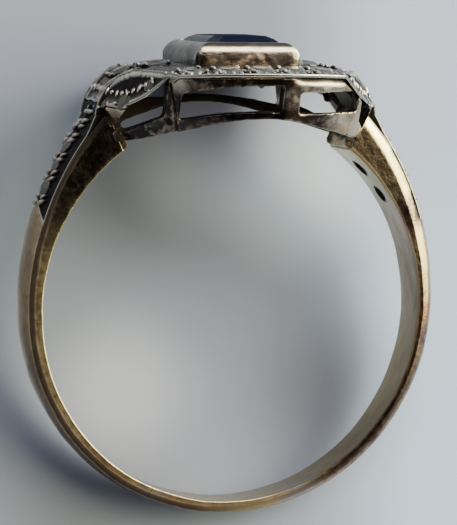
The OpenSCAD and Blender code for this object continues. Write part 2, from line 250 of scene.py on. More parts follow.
class Paint:
    """One material's node tree, with the few kinds of node that this ring needs."""

    def __init__(self, name):
        self.material = bpy.data.materials.new(name)
        self.material.use_nodes = True
        self.tree = self.material.node_tree
        self.tree.nodes.clear()
        where = add_node(self.tree, "TexCoord", output="Object")
        self.ring = add_node(self.tree, "Mapping", {"Vector": where, "Rotation": (-lean, 0.0, 0.0),
                                                    "Scale": (1 / MM, 1 / MM, 1 / MM)})
        split = add_node(self.tree, "SeparateXYZ", {0: self.ring})
        self.u, self.v, self.w = (Wire(self.tree, split.socket.node.outputs[i]) for i in range(3))

    def noise(self, size, detail=3.0, stretch=(1.0, 1.0, 1.0), rough=0.55, shift=0.0):
        """Soft noise with blobs of a size in millimetres, drawn out along an axis by stretch."""
        at = add_node(self.tree, "Mapping",
                      {"Vector": self.ring, "Location": (shift, shift, shift), "Scale": stretch})
        return add_node(self.tree, "TexNoise",
                        {"Vector": at, "Scale": 1 / size, "Detail": detail, "Roughness": rough})

    def attribute(self, name):
        return add_node(self.tree, "Attribute", output="Fac", attribute_name=name)

    def facing(self, *way):
        """How far the surface faces a direction in ring axes, from -1 to 1."""
        return aligned(self.tree, add_node(self.tree, "NewGeometry", output="Normal"), way)

    def blob(self, centre, radius, soft=0.6):
        """1 near a place in ring axes, falling to 0 at the radius."""
        gap = add_node(self.tree, "VectorMath", {0: self.ring, 1: centre}, "Value", operation="DISTANCE")
        return gap.rising(radius, radius * (1 - soft))

    def spots(self, places, soft=0.8):
        """Soft spots added up, each given by its place, its radius and its strength."""
        return sum(self.blob(place, radius, soft) * strength for *place, radius, strength in places)

    def layered(self, tone, *layers):
        return layered(self.tree, tone, layers)

    def bump(self, height, depth, strength):
        return add_node(self.tree, "Bump", {"Height": height, "Distance": depth * MM, "Strength": strength})

    def surface(self, values):
        add_node(self.tree, "OutputMaterial", {"Surface": add_node(self.tree, "BsdfPrincipled", values)})
        return self.material


print("shader helpers ready")

# %% [markdown]
# ## The floor and the light
#
# Polished metal has no colour of its own: it shows the room. The ring lay on a pale, cool sheet with
# a window off to its upper right, and whoever held the camera darkened the air above it with warm
# tones. So the world is a pale rim with a warm dark patch overhead, a broad bright patch for the
# window and three small brilliant panes, which the worn edges mirror as creamy gleams. One large soft
# light does the window's work on the sheet.
#
# The sheet is lit unevenly in the photo: the ring throws light on it as well as shade. Such glints
# are slow to trace and never land in the same place, so they are painted as wide soft spots of light
# and shade, and a painted shade darkens the sheet towards its left.

# %% Build the floor
FLOOR_HALF = 1.5
SHEET_TONES = (0.57, 0.645, 0.80), (0.585, 0.66, 0.815)
# A wide pool of painted light on the sheet's right: its place and radius in millimetres, strength, colour
SHEET_PAINTED_LIGHT = 18.0, -6.0, 22.0, 0.9, (0.62, 0.765, 1.0)
# The colour of the painted shade towards the sheet's left
SHEET_PAINTED_SHADE = 0.235, 0.25, 0.29
# Spots of painted light and painted shade, each: its place on the sheet and its radius in millimetres,
# its strength and its colour
SHEET_PAINTED_SPOTS = [
    (-16.5, 0.0, 15.0, 0.6, (0.15, 0.16, 0.175)),
    (-6.5, -9.8, 7.0, 0.7, (0.155, 0.155, 0.165)),
    (4.9, -3.6, 5.6, 0.65, (0.155, 0.158, 0.178)),
    (-2.8, 5.0, 5.5, 0.65, (0.165, 0.166, 0.190)),
    (-4.0, -3.2, 4.5, 0.75, (0.58, 0.60, 0.66)),
    (4.2, 5.4, 5.0, 0.85, (0.84, 0.97, 1.0)),
    (0.8, 1.2, 5.0, 0.4, (0.23, 0.235, 0.27)),
    (0.0, 7.6, 5.0, 0.7, (0.84, 0.87, 1.0))]

floor_z = cad_box[0][2]
floor_mesh = bpy.data.meshes.new("floor")
corners = np.array([[-1, -1], [1, -1], [1, 1], [-1, 1]], float) * FLOOR_HALF
floor_mesh.from_pydata([(x, y, floor_z) for x, y in corners], [], [(0, 1, 2, 3)])
floor = in_scene("floor", floor_mesh)
sheet = Paint("pale_sheet")


def painted_on_sheet(x, y, radius, strength, tint):
    """A very soft spot on the sheet, as a layer: painted light where its colour is pale, painted shade
    where it is dark.
    """
    return sheet.blob(tuple(to_ring([x * MM, y * MM, floor_z])), radius, 0.95) * strength, tint


tone = sheet.layered(
    SHEET_TONES[0],
    (sheet.noise(14.0, detail=2.0), SHEET_TONES[1]),
    # painted light on the right, painted shade towards the left, then the painted spots
    painted_on_sheet(*SHEET_PAINTED_LIGHT),
    (sheet.u.rising(9.5, 3.0) * 0.75, SHEET_PAINTED_SHADE),
    *(painted_on_sheet(*spot) for spot in SHEET_PAINTED_SPOTS))
floor_mesh.materials.append(sheet.surface({
    "Base Color": tone, "Roughness": 0.85, "Specular IOR Level": 0.2,
    "Normal": sheet.bump(sheet.noise(0.35, detail=4.0), 0.01, 0.25)}))
print("floor at z in mm:", round(floor_z / MM, 3))

# %% Light the room
ROOM_RIM = 0.44, 0.49, 0.61
# Each patch: the way to it in ring axes, the cosines where its edge begins and ends, and its colour
ROOM_PATCHES = [
    ((0.30, -0.15, 0.94), 0.55, 0.86, (0.050, 0.036, 0.028)),  # warm, dark air overhead
    ((0.82, 0.45, 0.36), 0.55, 0.92, (2.1, 2.1, 2.05)),        # the window
    ((0.75, 0.11, 0.65), 0.955, 0.985, (8.5, 8.8, 5.4)),       # its brightest pane
    ((0.94, 0.02, 0.34), 0.975, 0.99, (6.0, 6.1, 4.0)),        # a lower pane
    ((0.30, 0.60, 0.74), 0.94, 0.98, (5.0, 4.6, 3.8))]         # a small pane above

world = bpy.data.worlds.new("room")
bpy.context.scene.world = world
world.use_nodes = True
sky = world.node_tree
sky.nodes.clear()
direction = add_node(sky, "TexCoord", output="Generated")
room = layered(sky, ROOM_RIM, [(aligned(sky, direction, way).rising(low, high), tint)
                               for way, low, high, tint in ROOM_PATCHES])
add_node(sky, "OutputWorld", {"Surface": add_node(sky, "Background", {"Color": room})})

lamp_data = bpy.data.lights.new("window_light", "AREA")
lamp_data.shape, lamp_data.size = "SQUARE", 0.24
lamp_data.energy = 1.9
lamp_data.color = (1.0, 0.98, 0.95)
lamp = in_scene("window_light", lamp_data)
lamp.location = Vector(at_rest([360, 230, 200]))
lamp.rotation_euler = lamp.location.to_track_quat("Z", "Y").to_euler()
print("patches in the room:", len(ROOM_PATCHES), "lights:", [lamp.name])

# %% [markdown]
# ## The metals and stones
#
# The gold is worn and tarnished: bright where it rubs and brown on its flat sides. It also carries painted
# shade: on its faces towards the viewer, in its bore and over its gallery, which turns nearly black, while
# the bore grows paler low down with a painted reflection. Each metal piece carries two values on its
# vertices: `wear`, which is high on its convex edges, and `grime`, which is high in its hollows
# and also holds painted shade inside the gallery, under the plate, in the drilled holes and down the
# bezel's left front corner. The materials read them, so the dirt lies where it would on a real ring.
# Dirt is not metal, so the gold turns dull as well as dark there.
#
# Wear of that kind could be anywhere on the ring. What the photo shows in one place only, such as the
# painted shade on the left shoulder, the painted shade and sheen on the gallery, the reddish stains and
# the grey solder at the back, is given as soft spots with a place, a radius and a strength, broken up
# by the same noise as the rest.

# %% The gold
# Spots of painted shade and painted sheen, each: its place in ring axes, its radius and its strength
SHOULDER_SHADE = [(-6.7, 7.2, 1.2, 4.6, 0.8), (-8.2, 3.4, 1.2, 2.4, 0.35)]
GALLERY_SHADE = [
    (0.4, 9.1, 5.1, 0.9, 0.7), (-1.2, 8.4, 5.2, 1.0, 0.6), (0.1, 8.4, 5.2, 1.2, 0.6),
    (-4.1, 8.8, 4.6, 1.1, 0.8), (-4.1, 8.0, 4.6, 0.6, 0.6), (-5.5, 7.6, 2.8, 1.5, 0.9),
    (2.4, 9.75, 4.9, 0.5, 0.8), (5.9, 8.6, 2.6, 0.8, 0.8), (2.7, 8.3, 4.8, 1.7, 0.5)]
GALLERY_SHEEN = [
    (-3.8, 9.8, 4.9, 0.8, 0.7), (-5.9, 8.6, 3.0, 1.4, 0.8), (-5.3, 9.0, 3.9, 1.1, 0.6),
    (-3.1, 8.1, 5.0, 0.6, 0.8), (-1.8, 8.25, 5.2, 0.5, 0.6), (1.2, 9.2, 5.1, 0.7, 0.5),
    (3.8, 8.2, 4.3, 0.9, 0.7), (-4.5, 7.8, 3.8, 0.7, 0.7), (5.2, 8.0, 2.9, 1.3, 0.4),
    (2.1, 10.1, 4.8, 1.2, 0.8), (3.0, 10.0, 4.7, 1.0, 0.7)]
# Reddish and brown stains on the shank, each with its own colour
STAINS = [
    (-3.5, -7.5, 0.9, 5.5, 0.6, (0.34, 0.205, 0.115)), (6.3, -6.0, 0.9, 5.0, 0.95, (0.10, 0.070, 0.055)),
    (9.1, -3.2, 0.9, 2.2, 0.9, (0.12, 0.085, 0.068)), (8.95, -0.2, 1.0, 1.0, 0.8, (0.34, 0.17, 0.09)),
    (9.0, -1.5, 1.0, 1.0, 1.0, (0.14, 0.085, 0.08)), (8.15, 4.1, 1.2, 1.2, 1.0, (0.08, 0.055, 0.060))]
SOLDER = [(-3.5, -7.8, 0.9, 0.9, 0.5), (3.1, -7.9, 0.8, 1.3, 0.8)]
SEAM_ACROSS = 0.911, -0.414


def worn_gold():
    """Tarnish over bright gold, painted shade on the faces towards the viewer, the bore, the left shoulder
    and the gallery, painted sheen on the bore and the gallery, polish on the edges, stains, and dirt with
    painted shade.
    """
    gold = Paint("worn_gold")
    u, v, w = gold.u, gold.v, gold.w
    wear, grime = gold.attribute("wear"), gold.attribute("grime")
    patches = gold.noise(2.2, detail=4.0)
    speckle = gold.noise(0.35, detail=5.0, rough=0.65, shift=3.0)
    brushed = gold.noise(0.22, stretch=(1.0, 1.0, 0.25), shift=7.0)
    ragged = patches.rising(0.25, 0.65)
    flakes = speckle.rising(0.42, 0.60)
    flat_side = gold.facing(0.0, 0.0, 1.0).rising(0.75, 0.97)
    in_bore = ((u * u + v * v) ** 0.5).rising(8.60, 8.53) * gold.facing(0.0, 0.0, 1.0).rising(0.35, 0.15)
    # Tarnish in patches and specks, with painted shade on the faces towards the viewer
    tarnish_and_front_shade = patches.rising(0.40, 0.66) * 0.6 + flat_side * 0.35 + speckle.rising(0.45, 0.7) * 0.5
    mottled = (v.rising(7.6, 3.0) * flakes * 0.45 * u.rising(-5.0, -6.0)).clamped()
    left_shoulder = v.rising(2.5, 5.5) * u.rising(-3.0, -5.0)
    # Painted shade over the gallery's front half, deeper left of the middle and at its listed spots
    gallery_front_shade = (gold.spots(GALLERY_SHADE) + u.rising(1.3, 0.7) * 0.45 + 0.4) * w.rising(1.6, 2.2)
    # Painted shade on the left shoulder's face by the head and over the gallery's front, broken up by noise
    painted_shade = (gold.spots(SHOULDER_SHADE) * flat_side * (0.75 + ragged * 0.4)
            + gallery_front_shade * (0.5 + speckle.rising(0.36, 0.56) * 0.6)).clamped()
    # Painted sheen: paler metal where the gallery's walls mirror the bright room
    painted_sheen = (gold.spots(GALLERY_SHEEN) * (0.5 + speckle.rising(0.35, 0.6) * 0.7)).clamped()
    pink = gold.blob((8.3, 3.9, 1.0), 1.2) * speckle.rising(0.35, 0.55)
    # The bore is painted darker, as shade, and paler towards its bottom, as a painted reflection
    bore_shade_and_sheen = gold.layered((0.23, 0.155, 0.075), (v.rising(1.0, -5.0), (0.46, 0.36, 0.20)))
    polished = gold.layered((0.50, 0.29, 0.15),
                            ((v.rising(0.0, 4.5) + u.rising(3.0, 0.0)).clamped(), (1.0, 0.85, 0.40)))
    stained = (0.55 + speckle.rising(0.38, 0.58) * 0.45) * (1 - in_bore)
    solder = gold.spots(SOLDER, 0.6)
    off_seam = (u * SEAM_ACROSS[0] + v * SEAM_ACROSS[1]) ** 2.0
    metal = gold.layered(
        (0.60, 0.46, 0.27),
        (tarnish_and_front_shade.clamped(), (0.30, 0.215, 0.13)),
        (in_bore, bore_shade_and_sheen),
        (mottled * flat_side, (0.10, 0.085, 0.045)),
        (flat_side * left_shoulder * 0.7, (0.21, 0.185, 0.155)),
        # painted shade, nearly black
        (painted_shade, (0.034, 0.027, 0.026)),
        (painted_sheen, (0.80, 0.68, 0.50)),
        (pink * 0.7, (0.60, 0.30, 0.27)),
        (wear * (1 - painted_shade * 0.7) * (0.55 + ragged * 0.45), polished),
        *((gold.spots([spot]) * stained, tint) for *spot, tint in STAINS),
        (solder * speckle.rising(0.35, 0.6), (0.30, 0.29, 0.31)),
        (off_seam.rising(0.0022, 0.0004) * v.rising(-5.0, -6.0) * 0.4, (0.06, 0.05, 0.06)),
        # Dirt in the hollows, and painted shade where the vertices carry it
        (grime, (0.020, 0.011, 0.008)))
    dull_side = v.rising(5.5, 2.0) * 0.2 + flakes * v.rising(2.0, 5.0) * 0.11
    rough = (0.10 + patches * 0.08 + grime * 0.35 + painted_sheen * 0.22
             + flat_side * u.rising(7.0, 3.0) * dull_side).clamped()
    return gold.surface({
        "Base Color": metal, "Metallic": 1 - grime * 0.85, "Specular IOR Level": 0.15, "Roughness": rough,
        "Normal": gold.bump(brushed * 0.5 + speckle * 1.0 + patches * 5.0, 0.02, 0.6)})


GOLD = worn_gold(), "gold", "shank_and_gallery"
print("material:", GOLD[0].name)

# %% The white metal


def worn_white_metal():
    """A dull grey metal with a painted warm highlight along the bezel's front, painted dark and rosy
    reflections beside it, painted shade on the plate's top, and dirt in its cuts.
    """
    white = Paint("worn_white_metal")
    u, v, w = white.u, white.v, white.w
    wear, grime = white.attribute("wear"), white.attribute("grime")
    patches = white.noise(1.6, detail=4.0)
    speckle = white.noise(0.22, detail=5.0, rough=0.65, shift=5.0)
    drift = white.noise(0.7, stretch=(1.0, 2.5, 1.0), shift=9.0)
    # Painted shade on the plate's level top, below the bezel
    shaded_top = white.facing(0.0, 1.0, 0.1).rising(0.70, 0.92) * v.rising(11.0, 10.9)
    below_rim = v.rising(11.31, 11.25)
    # A painted highlight: a warm band along the bezel's front top edge and down its right corner
    highlight_along_front = v.rising(11.07, 11.14) * below_rim * u.rising(-2.15, -1.95)
    highlight_down_corner = u.rising(1.92, 2.0) * v.rising(10.7, 10.9) * below_rim
    painted_highlight = (highlight_along_front + highlight_down_corner) * w.rising(2.3, 2.45)
    # A painted dark reflection on the bezel's front, below the highlight
    dark_reflection_below = v.rising(11.09, 11.01) * u.rising(2.05, 1.95) * w.rising(2.5, 2.6) * v.rising(10.3, 10.4)
    # A painted rosy reflection on the bezel's front face
    rosy_reflection = (white.blob((-0.5, 10.7, 2.8), 1.7) * drift.rising(0.42, 0.58)
            * white.facing(0.0, 0.0, 1.0).rising(0.6, 0.8) * v.rising(11.0, 10.9))
    # Painted shade on the plate's upward faces at the front, which also turns them less metallic
    plate_front_shade = (w.rising(2.6, 2.8) * v.rising(10.5, 10.4) * (1 - wear)
                   * white.facing(0.0, 1.0, 0.0).rising(0.6, 0.8))
    tone = white.layered(
        (0.25, 0.225, 0.185),
        (patches.rising(0.35, 0.7), (0.12, 0.098, 0.080)),
        (shaded_top * 0.8, (0.080, 0.060, 0.046)),
        (painted_highlight * 0.85, (1.0, 0.87, 0.62)),
        (dark_reflection_below * (0.45 + speckle.rising(0.42, 0.58) * 0.45), (0.070, 0.052, 0.045)),
        (rosy_reflection * 0.8, (0.62, 0.40, 0.27)),
        (plate_front_shade * 0.7, (0.045, 0.046, 0.044)),
        (wear, (1.0, 0.92, 0.76)),
        # Dirt in the cuts, and painted shade where the vertices carry it
        (grime, (0.018, 0.015, 0.015)))
    return white.surface({
        "Base Color": tone, "Metallic": 1 - plate_front_shade * 0.7, "Specular IOR Level": 0.15,
        "Roughness": (0.12 + patches * 0.12 + grime * 0.4 - wear * 0.03).clamped(),
        "Normal": white.bump(speckle * 0.8 + drift * 1.6, 0.02, 0.6)})


WHITE = worn_white_metal(), "white_metal", "plate_and_bezel"
print("material:", WHITE[0].name)

# %% [markdown]
# The sapphire is so deep a blue that the photo shows it almost black, with one grey reflection on its
# left. Drawn clear, it would let the pale sheet through. So its body is opaque, and a thin clear coat
# with the stone's own index gives that reflection on the facets that face left. The diamonds are
# clear, but small, old and dusty, so they stay grey.

# %% The sapphire and the diamonds
blue = Paint("sapphire_blue")
faces_left = blue.facing(-1.0, 0.0, 0.0).rising(0.18, 0.32)
blue_finish = blue.surface({
    "Base Color": colour((0.006, 0.007, 0.022)), "Roughness": 0.3, "Specular IOR Level": 0.0,
    "Coat Weight": faces_left * 0.47 + 0.06, "Coat IOR": 1.77, "Coat Roughness": 0.02})
clear = Paint("old_diamond")
clear_finish = clear.surface({
    "Base Color": colour((0.13, 0.13, 0.135)), "IOR": 2.42, "Transmission Weight": 1.0,
    "Roughness": (clear.noise(0.3, detail=2.0) * 0.16).clamped(),
    "Specular IOR Level": 0.3, "Specular Tint": colour((0.85, 0.76, 0.62))})
print("materials:", [m.name for m in bpy.data.materials])

# %% [markdown]
# ## The head's outline
#
# Seen from above, the head has six lobes: four round corners and a long one in front and behind.
# From any direction, the outline is the furthest of those circles, so it can be written as a distance
# for each angle, and the whole plate can be drawn as a fan of rows from the bezel out to that line.

# %% The outline as a distance for each angle
CORNER_R, CORNER_U, CORNER_W = 3.5, 3.15, 0.6
LONG_R, LONG_REACH = 9.0, 5.3
LONG_W = LONG_REACH - LONG_R
NOTCH_NEAR, NOTCH_FAR = 3.9, 4.95
PLATE_T = 0.15
TAPER, TAPER_LEVEL = 0.06, 10.0
PLATE_V, TOP_R = 10.75, 31.0
END_R, END_U, END_V = 2.4, 4.0, 8.05
CORNER_POINT = 5.2, 9.05, 3.0
SLOPE, FACING = math.radians(60.7), math.radians(26.4)
CORNER_N = math.sin(SLOPE) * math.cos(FACING), math.cos(SLOPE), math.sin(SLOPE) * math.sin(FACING)
ANGLES = 1100


def exit_distance(way, centre, radius):
    """Distance from the middle to where a line in a direction leaves a circle: b + root(b b - c)."""
    b = way @ np.array(centre)
    c = centre[0] ** 2 + centre[1] ** 2 - radius ** 2
    inside_root = b * b - c
    return np.where(inside_root > 0, b + np.sqrt(np.maximum(inside_root, 0)), 0)


def outline_distance(angle):
    """The head's outline at the level where the taper is measured. The rear is the front turned by
    half a turn, and each long lobe ends at its two notches."""
    way = polar(1, angle)
    far = np.zeros(len(angle))
    for su in (-1, 1):
        for sw in (-1, 1):
            far = np.maximum(far, exit_distance(way, (su * CORNER_U, sw * CORNER_W), CORNER_R))
    for along in (way, -way):
        reach = exit_distance(along, (0.0, LONG_W), LONG_R)
        notch = np.where(along[:, 0] > 0, NOTCH_FAR, NOTCH_NEAR)
        stop = notch / np.maximum(np.abs(along[:, 0]), 1e-6)
        far = np.maximum(far, np.where(along[:, 1] > 0, np.minimum(reach, stop), 0))
    return far


def even_angles(count):
    """Angles that divide the outline into stretches of equal length, from its summed-up chords."""
    angle = np.linspace(0, 2 * math.pi, 20001)
    chords = np.diff(polar(outline_distance(angle), angle), axis=0)
    walked = np.concatenate([[0], np.cumsum(np.hypot(*chords.T))])
    return np.interp(np.arange(count) / count * walked[-1], walked, angle)


def rim_distance(p):
    """How far a point on the plate lies inside its rim: the deepest of its distances inside the lobes.
    The point is first taken back to the plan, by the lean and the taper."""
    q = turned(p, -HEAD_TILT, HEAD_PIVOT)
    share = 1 - TAPER * (TAPER_LEVEL - q[..., 1])
    u, w = q[..., 0] / share, q[..., 2] / share
    deep = CORNER_R - np.hypot(np.abs(u) - CORNER_U, np.abs(w) - CORNER_W)
    for turn in (1, -1):
        lobe = LONG_R - np.hypot(u, w * turn - LONG_W)
        lobe = np.minimum(lobe, np.minimum(NOTCH_NEAR + u * turn, NOTCH_FAR - u * turn))
        deep = np.where(w * turn > 0, np.maximum(deep, lobe), deep)
    return deep * share


def dome_height(u, w):
    """The broad dome, which rolls over at both ends of the head."""
    dome = PLATE_V - TOP_R + np.sqrt(TOP_R ** 2 - u * u - w * w)
    beyond = np.clip(np.abs(u) - END_U, 0, END_R - 1e-3)
    roll = END_V + np.sqrt(END_R ** 2 - beyond ** 2)
    return np.where(np.abs(u) < END_U, dome, np.minimum(dome, roll))


def corner_height(u, w):
    """The sloping plane of the nearest corner lobe."""
    away = CORNER_N[0] * (np.abs(u) - CORNER_POINT[0]) + CORNER_N[2] * (np.abs(w) - CORNER_POINT[2])
    return CORNER_POINT[1] - away / CORNER_N[1]


def top_height(u, w):
    """The plate's top is the lower of the dome and the corner planes."""
    return np.minimum(dome_height(u, w), corner_height(u, w))


def on_top(plan):
    """Points of a plan in u and w, set on the plate's top."""
    return raised(plan, top_height(plan[..., 0], plan[..., 1]))


def wall_line(angle, sink):
    """The line round the gallery's leaning wall, a distance below the plate's top. Its height at each
    angle is corrected a few times by a share of what it misses."""
    reach = outline_distance(angle)
    height = np.full(len(angle), TAPER_LEVEL)
    for _ in range(16):
        r = reach * (1 - TAPER * (TAPER_LEVEL - height))
        p = turned(raised(polar(r, angle), height), HEAD_TILT, HEAD_PIVOT)
        height += 0.6 * (top_height(p[:, 0], p[:, 2]) - sink - p[:, 1])
    return p


angles = even_angles(ANGLES)
rim_line = wall_line(angles, 0.0)
print("rim heights in mm:", rim_line[:, 1].min().round(2), "to", rim_line[:, 1].max().round(2))

# %% [markdown]
# ## Worn gold from the exact solid
#
# The gold is one solid: hoop, shoulders and pierced gallery. Its shape is right, but its edges are as
# sharp as a drawing's, and an old ring has none left. So a copy of the gallery is rebuilt as an even
# net of small faces, relaxed until its edges round off, and then given its hollows and dents by a
# formula. That net also tells where the metal is convex, which is where it wears bright.

# %% Helpers for nets of vertices


def read(items, name, width, kind=float):
    """One value of all of a mesh's vertices or edges, as rows of numbers."""
    flat = np.empty(len(items) * width, dtype=kind)
    items.foreach_get(name, flat)
    return flat.reshape(-1, width)


def neighbour_mean(values, edges):
    """For each vertex, the mean of a value over the vertices that it shares an edge with."""
    total = np.zeros_like(values)
    count = np.zeros(len(values))
    for a, b in (edges.T, edges[:, ::-1].T):
        np.add.at(total, a, values[b])
        np.add.at(count, a, 1)
    count = np.maximum(count, 1)
    return total / (count if values.ndim == 1 else count[:, None])


def ramp(x, low, high):
    """0 at low, 1 at high, with a smooth step between: 3t squared less 2t cubed."""
    t = np.clip((x - low) / (high - low), 0, 1)
    return t * t * (3 - 2 * t)


def store(mesh, **layers):
    """Keeps one number for each vertex under a name, where a material can read it."""
    for name, values in layers.items():
        layer = mesh.attributes.new(name, "FLOAT", "POINT")
        layer.data.foreach_set("value", np.asarray(values, np.float32).ravel())


def add_wear(mesh, size, ridge, hollow, more_grime, less_wear=0.0):
    """Stores wear where the surface is convex, and dirt where it is hollow, raised to more_grime,
    which also carries painted shade. How hollow a place is: the
    way to its neighbours' mean, along the normal, over the mesh size, which is below 0 on a ridge."""
    points = read(mesh.vertices, "co", 3) / MM
    edges = read(mesh.edges, "vertices", 2, np.int64)
    normals = read(mesh.vertices, "normal", 3)
    bend = ((neighbour_mean(points, edges) - points) * normals).sum(1) / size
    wear_value = ramp(-bend, *ridge) * (1 - less_wear)
    grime_value = np.maximum(ramp(bend, *hollow), more_grime)
    wear_value, grime_value = (neighbour_mean(x, edges) * 0.5 + x * 0.5 for x in (wear_value, grime_value))
    store(mesh, wear=wear_value, grime=grime_value)


def waves(points, size, seed, count=14):
    """Gentle unevenness: a sum of sine waves in fixed pseudo-random directions, each about size long."""
    rng = np.random.default_rng(seed)
    ways = unit(rng.normal(size=(count, 3))) / size * rng.uniform(0.6, 1.6, (count, 1))
    phases = rng.uniform(0, 2 * math.pi, count)
    return np.sin(points @ ways.T * 2 * math.pi + phases).sum(-1) / math.sqrt(count)


def dents(points, *sets):
    """Unevenness in millimetres, added up from sets of waves: each has a size, a seed and a depth."""
    return sum(waves(points, size, seed) * depth for size, seed, depth in sets)


def dress(mesh, finish, slot, node):
    """Makes an object of a finished mesh, with its material and its body, and hides the node that it
    replaces. The slot is not used.
    """
    piece = in_scene(mesh.name, mesh)
    mesh.materials.clear()
    mesh.materials.append(finish)
    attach(piece, root)
    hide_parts(node)
    print(mesh.name, "faces:", len(mesh.polygons))


def outward_mesh(name, points, faces):
    """A smooth mesh of points in ring axes, with all of its faces turned outwards."""
    mesh = bpy.data.meshes.new(name)
    mesh.from_pydata(at_rest(points.reshape(-1, 3)), [], faces)
    work = bmesh.new()
    work.from_mesh(mesh)
    bmesh.ops.recalc_face_normals(work, faces=work.faces)
    work.to_mesh(mesh)
    work.free()
    mesh.shade_smooth()
    return mesh


def closed_loops(name, rows, ends=False):
    """A mesh from rows of points in ring axes, shaped rows by points by 3. Each row is a closed loop that
    is joined to the next, and the last to the first, unless it has ends: then each end is one face."""
    n, m = rows.shape[:2]
    i, j = np.meshgrid(np.arange(n - 1 if ends else n), np.arange(m), indexing="ij")
    k, l = (i + 1) % n, (j + 1) % m
    faces = np.stack([i * m + j, i * m + l, k * m + l, k * m + j], -1).reshape(-1, 4).tolist()
    if ends:
        faces += [list(range(m))[::-1], list(range((n - 1) * m, n * m))]
    return outward_mesh(name, rows, faces)


def fine_net(node, name, size, relax, cuts):
    """A copy of a node's mesh, merged, cut off beyond some planes, rebuilt as a net of even faces of a
    size, and relaxed."""
    mesh = frame["nodes"][node].data.copy()
    work = bmesh.new()
    work.from_mesh(mesh)
    bmesh.ops.remove_doubles(work, verts=work.verts, dist=1e-6)
    for place, way in cuts:
        everything = work.verts[:] + work.edges[:] + work.faces[:]
        cut = bmesh.ops.bisect_plane(work, geom=everything, clear_outer=True,
                                     plane_co=Vector(at_rest(place)), plane_no=ring_direction(way))
        rim_edges = [e for e in cut["geom_cut"] if isinstance(e, bmesh.types.BMEdge)]
        bmesh.ops.triangle_fill(work, edges=rim_edges, use_beauty=True)
    work.to_mesh(mesh)
    work.free()
    holder = in_scene(name, mesh)
    net = holder.modifiers.new("net", "REMESH")
    net.mode, net.voxel_size, net.use_smooth_shade = "VOXEL", size * MM, True
    soft = holder.modifiers.new("soft", "SMOOTH")
    soft.factor, soft.iterations = 0.5, relax
    made = bpy.data.meshes.new_from_object(holder.evaluated_get(bpy.context.evaluated_depsgraph_get()))
    made.name = name
    bpy.data.objects.remove(holder)
    return made


print("mesh helpers ready")

# %% The pierced gallery
GALLERY_SIZE = 0.062
GALLERY_LOW = 6.0
END_SLOPE, END_REACH = 0.4, 6.6
HOOP_JOINT = 4.3, 7.9, 1.5
JOINT_SWELL = 0.03
LOBE_FRONT, ROLL_IN = 4.0, 0.26

cuts = [((0, GALLERY_LOW, 0), (0, -1, 0))]
cuts += [((su * END_REACH, TAPER_LEVEL, 0), (su, -END_SLOPE, 0)) for su in (-1, 1)]
gallery_mesh = fine_net("shank_and_gallery", "gold_gallery", GALLERY_SIZE, 3, cuts)
points = to_ring(read(gallery_mesh.vertices, "co", 3))
normals = to_ring(read(gallery_mesh.vertices, "normal", 3) * MM)
points += normals * dents(points, (2.4, 11, 0.010), (0.7, 12, 0.006))[:, None]

# The front wall rolls in under the plate, right of the middle, where the photo has a broad gleam
u, v, w = points.T
below_top = top_height(u, w) - PLATE_T - v
rolled = ROLL_IN * ramp(below_top, 0.50, 0.0) ** 2 * ramp(u, 1.0, 1.7) * ramp(u, 4.2, 3.4)
points[:, 2] -= rolled * (w > LOBE_FRONT)

# Where the gallery meets the hoop it stands a little proud, as if with solder
by_hoop = (np.abs(w) < HOOP_JOINT[2]) & (v < HOOP_JOINT[1]) & (np.abs(u) > HOOP_JOINT[0])
points += unit(points * [1, 1, 0]) * (JOINT_SWELL * by_hoop)[:, None]
points[:, 2] -= np.sign(points[:, 2]) * JOINT_SWELL * by_hoop
gallery_mesh.vertices.foreach_set("co", at_rest(points).ravel())
gallery_mesh.update()
# Inner faces of the gallery: dirt and painted shade, and less wear; by the hoop, dirt in the joint
inside_dirt_and_shade = np.where(by_hoop, 0.35, ramp(rim_distance(points), 0.10, 0.22))
add_wear(gallery_mesh, GALLERY_SIZE, (0.14, 0.42), (0.10, 0.30), inside_dirt_and_shade * 0.9, np.maximum(inside_dirt_and_shade, by_hoop))
dress(gallery_mesh, *GOLD)

# %% [markdown]
# ## The hoop
#
# The shank and its shoulders were drawn down from one bar, filed flat on both sides and rounded on the
# outside. So the surface is one profile carried round the finger hole: a flat bore, two flat sides, a
# crown, and a worn facet between side and crown that is broad on the right shoulder. Each profile point
# has its own last angle, so both ends stop inside the gallery's wall. Two small holes are drilled
# through each shoulder from the bore, to let light reach the stones.

# %% Sweep the hoop
FINGER_R = 8.5
CROWN_R, CROWN_SHIFT = 9.28, 0.18
SHOULDER_R = 13.0
SHOULDER_U = SHOULDER_R - CROWN_R
BACK_V, BACK_HALF = -8.97, 0.9
SHOULDER_HALF = 1.35
COURT_R = 3.2
BEVEL = 0.035
STRIP_HALF, STRIP_LIP, STRIP_BED = 1.05, 0.045, 0.34
TAIL_TIP, TAIL_NOTCH = 3.8, 4.6
AZURE_ANGLES, AZURE_R, AZURE_DEPTH = (34.3, 44.4), 0.33, 0.75
HOOP_STATIONS = 720
HOOP_OUTER, HOOP_END_U = 10.3, 2.35


def arch_radius(cos_a, sin_a):
    """Distance from the hole's middle to the right shoulder's arc: root(c c + d) - c."""
    c = SHOULDER_U * cos_a - CROWN_SHIFT * sin_a
    return -c + np.sqrt(c * c + SHOULDER_R ** 2 - SHOULDER_U ** 2 - CROWN_SHIFT ** 2)


def crown_radius(a):
    """Distance from the hole's middle to the outer face at each angle: two arcs above, a circle below."""
    cos_a, sin_a = np.abs(np.cos(a)), np.sin(a)
    arch = arch_radius(cos_a, sin_a)
    ring = CROWN_SHIFT * sin_a + np.sqrt(CROWN_R ** 2 - (CROWN_SHIFT * cos_a) ** 2)
    return np.where(arch * sin_a > CROWN_SHIFT, arch, ring)


def half_width(v):
    """Half the shank's width, which grows evenly from the back up to the head."""
    return BACK_HALF + (SHOULDER_HALF - BACK_HALF) * (v - BACK_V) / (FINGER_R - BACK_V)


